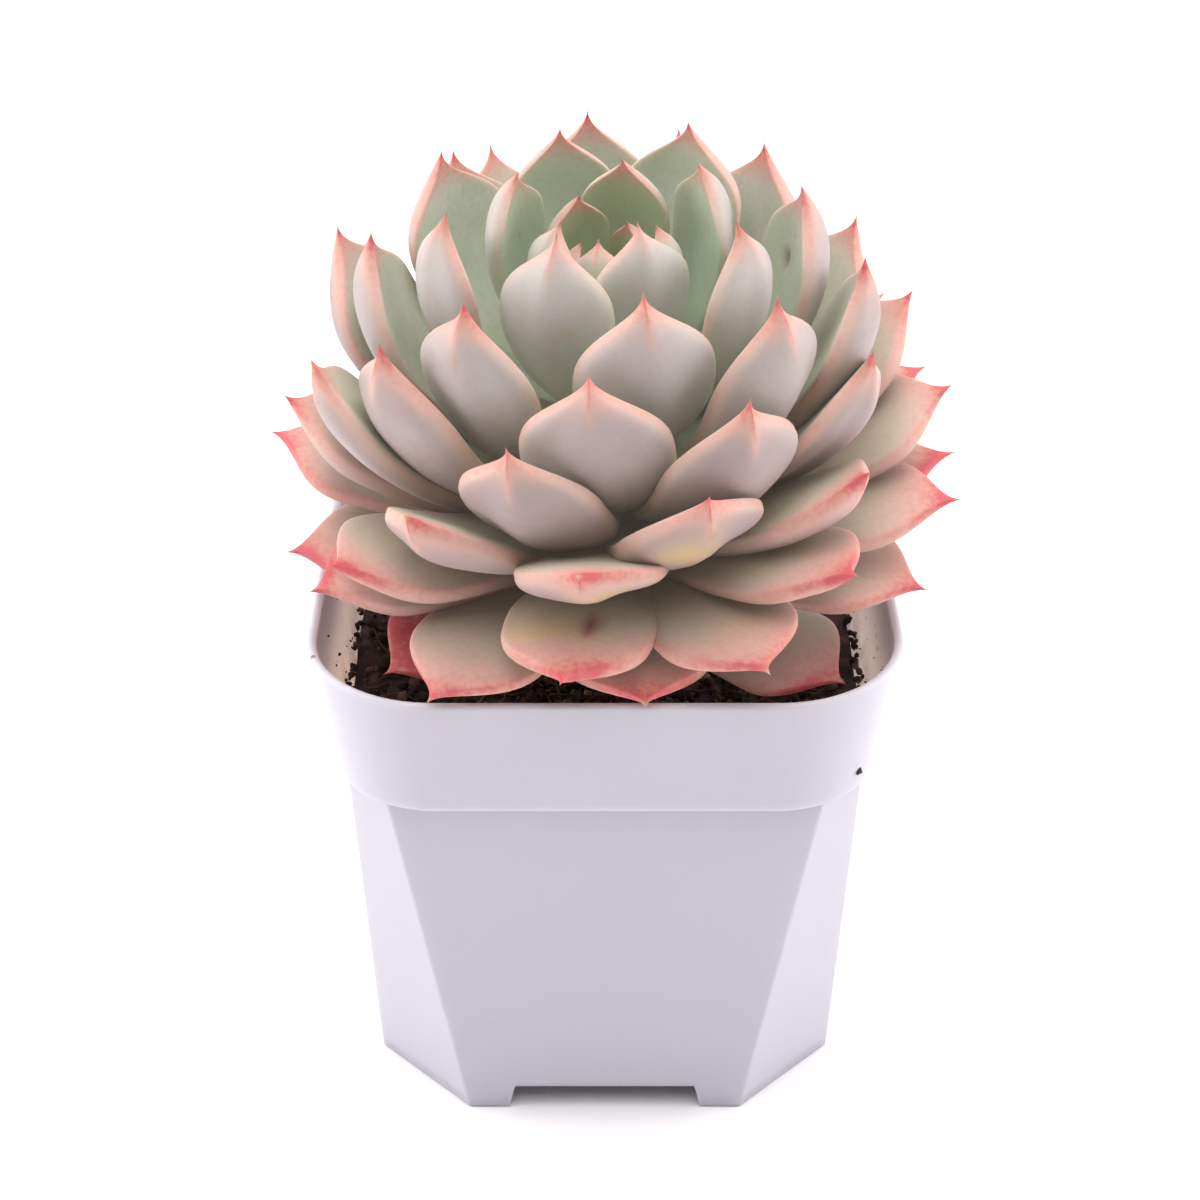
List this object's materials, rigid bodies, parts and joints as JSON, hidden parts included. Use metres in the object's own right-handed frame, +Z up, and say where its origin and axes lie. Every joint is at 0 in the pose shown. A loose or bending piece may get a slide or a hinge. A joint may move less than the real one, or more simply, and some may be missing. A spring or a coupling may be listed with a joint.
{
  "type": "potted succulent plant",
  "caption": "Potted echeveria succulent: a dense rosette of fleshy pointed leaves on a short stem in potting mix, in a tapered square white plastic pot with a stepped rim.",
  "frame": {"origin": "centre of the whole plant and pot seen from above, on the surface that the pot's feet stand on", "axes": "+Z up, X and Y along the pot's sides, the rosette leaning towards -Y"},
  "size_m": [0.0817, 0.0808, 0.118],
  "materials": {
    "pot_plastic": "smooth semi-gloss white injection-moulded plastic with light scuffs",
    "potting_mix": null,
    "old_leaf": "waxy matte leaf skin, pinkish green with coral edges; matte_plastic stands in for leaf flesh",
    "heart_leaf": "waxy matte leaf skin, grey green; matte_plastic stands in for leaf flesh",
    "leaf": "powdery grey-green leaf skin with a lilac bloom and coral-pink edges and tips; matte_plastic stands in for leaf flesh"
  },
  "bodies": {
    "root": {"pot": "pot_plastic", "soil": "potting_mix", "stem_and_lowest_leaves": "old_leaf", "heart_bud": "heart_leaf", "leaf_01": "leaf", "leaf_02": "leaf", "leaf_03": "leaf", "leaf_04": "leaf", "leaf_05": "leaf", "leaf_06": "leaf", "leaf_07": "leaf", "leaf_08": "leaf", "leaf_09": "leaf", "leaf_10": "leaf", "leaf_11": "leaf", "leaf_12": "leaf", "leaf_13": "leaf", "leaf_14": "leaf", "leaf_15": "leaf", "leaf_16": "leaf", "leaf_17": "leaf", "leaf_18": "leaf", "leaf_19": "leaf", "leaf_20": "leaf", "leaf_21": "leaf", "leaf_22": "leaf", "leaf_23": "leaf", "leaf_24": "leaf", "leaf_25": "leaf", "leaf_26": "leaf", "leaf_27": "leaf", "leaf_28": "leaf", "leaf_29": "leaf", "leaf_30": "leaf", "leaf_31": "leaf", "leaf_32": "leaf", "leaf_33": "leaf", "leaf_34": "leaf", "leaf_35": "leaf", "leaf_36": "leaf", "leaf_37": "leaf", "leaf_38": "leaf", "leaf_39": "leaf", "leaf_40": "leaf", "leaf_41": "leaf", "leaf_42": "leaf", "leaf_43": "leaf", "leaf_44": "leaf", "leaf_45": "leaf", "leaf_46": "leaf", "leaf_47": "leaf", "leaf_48": "leaf", "leaf_49": "leaf", "leaf_50": "leaf", "leaf_51": "leaf", "leaf_52": "leaf", "leaf_53": "leaf", "leaf_54": "leaf", "leaf_55": "leaf", "leaf_56": "leaf"}
  },
  "joints": []
}
